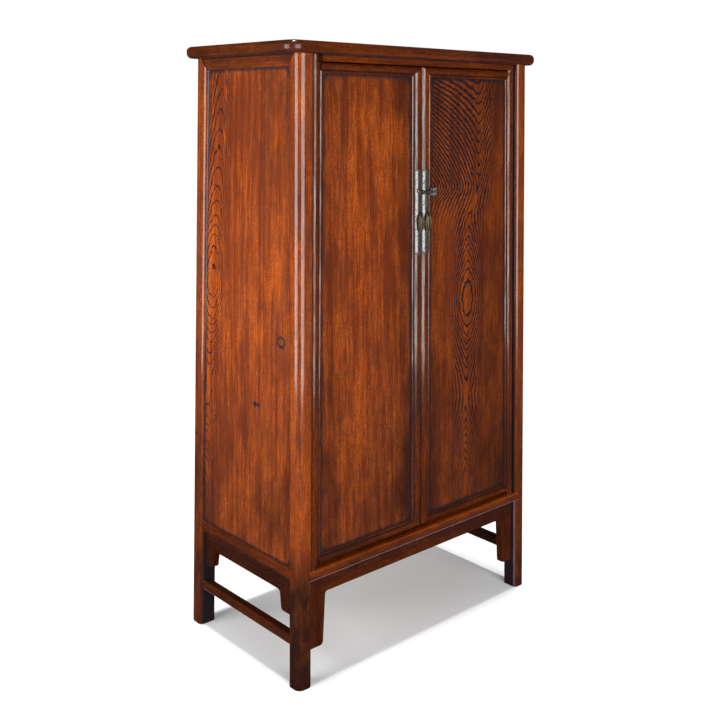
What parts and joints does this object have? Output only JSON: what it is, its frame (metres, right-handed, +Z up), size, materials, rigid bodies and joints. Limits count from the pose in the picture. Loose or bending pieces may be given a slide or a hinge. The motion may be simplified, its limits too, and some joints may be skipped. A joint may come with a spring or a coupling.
{
  "type": "book cabinet",
  "caption": "Tall two-door book cabinet with splayed round-cornered posts, an overhanging cap, pivoting panelled doors with face plates, pulls and a sliding lock pin, and shelves.",
  "frame": {"origin": "on the floor, under the middle of the cabinet", "axes": "+Z up, +X to the right and +Y to the back as seen from the doors"},
  "size_m": [1.013, 0.563, 1.8],
  "materials": {
    "elm_frame": "polished lacquered elm",
    "elm_panel": "polished lacquered elm",
    "elm_board": "thinly lacquered wood",
    "white_metal": "worn white metal with brown patina",
    "bronze": "patinated bronze"
  },
  "bodies": {
    "root": {"back_apron": "elm_frame", "back_muntin": "elm_frame", "back_panel_left": "elm_board", "back_panel_right": "elm_board", "base_rail_back": "elm_frame", "base_rail_left": "elm_frame", "base_rail_right": "elm_frame", "bearers_left": "elm_frame", "bearers_right": "elm_frame", "bottom_board": "elm_board", "cap_back": "elm_frame", "cap_batten": "elm_frame", "cap_front": "elm_frame", "cap_left": "elm_frame", "cap_panel": "elm_board", "cap_right": "elm_frame", "front_apron": "elm_frame", "front_spandrel_left": "elm_frame", "front_spandrel_right": "elm_frame", "head_rail_back": "elm_frame", "head_rail_front": "elm_frame", "head_rail_left": "elm_frame", "head_rail_right": "elm_frame", "lower_shelf": "elm_board", "post_back_left": "elm_frame", "post_back_right": "elm_frame", "post_front_left": "elm_frame", "post_front_right": "elm_frame", "side_apron_left": "elm_frame", "side_apron_right": "elm_frame", "side_panel_left": "elm_panel", "side_panel_right": "elm_panel", "side_spandrel_back_left": "elm_frame", "side_spandrel_back_right": "elm_frame", "side_spandrel_front_left": "elm_frame", "side_spandrel_front_right": "elm_frame", "sill": "elm_frame", "stretcher_left": "elm_frame", "stretcher_right": "elm_frame", "upper_shelf": "elm_board"},
    "left_door": {"left_pivot_stile": "elm_frame", "left_meeting_stile": "elm_frame", "left_top_rail": "elm_frame", "left_bottom_rail": "elm_frame", "left_door_panel": "elm_panel", "left_door_battens": "elm_frame", "left_face_plate": "white_metal", "left_staples": "white_metal"},
    "right_door": {"right_pivot_stile": "elm_frame", "right_meeting_stile": "elm_frame", "right_top_rail": "elm_frame", "right_bottom_rail": "elm_frame", "right_door_panel": "elm_panel", "right_door_battens": "elm_frame", "right_face_plate": "white_metal", "right_staples": "white_metal"},
    "left_pull": {"left_pull": "bronze"},
    "right_pull": {"right_pull": "bronze"},
    "lock_pin": {"lock_pin": "white_metal", "lock_cap": "white_metal"}
  },
  "joints": [
    {"name": "left_door_pivot", "type": "hinge", "parent": "root", "child": "left_door", "pos_m": [-0.44098, -0.25949, 0], "axis": [-0.0269, -0.0223, -0.9994], "range_deg": [0, 95]},
    {"name": "right_door_pivot", "type": "hinge", "parent": "root", "child": "right_door", "pos_m": [0.44098, -0.25949, 0], "axis": [-0.0269, 0.0223, 0.9994], "range_deg": [0, 95]},
    {"name": "left_pull_swing", "type": "hinge", "parent": "left_door", "child": "left_pull", "pos_m": [-0.01506, -0.25077, 1.33014], "axis": [-1, 0, 0], "range_deg": [-2.5, 90]},
    {"name": "right_pull_swing", "type": "hinge", "parent": "right_door", "child": "right_pull", "pos_m": [0.01506, -0.25077, 1.33014], "axis": [-1, 0, 0], "range_deg": [-2.5, 90]},
    {"name": "lock_pin_slide", "type": "slide", "parent": "right_door", "child": "lock_pin", "axis": [-1, 0, 0], "range_m": [0, 0.014]}
  ]
}
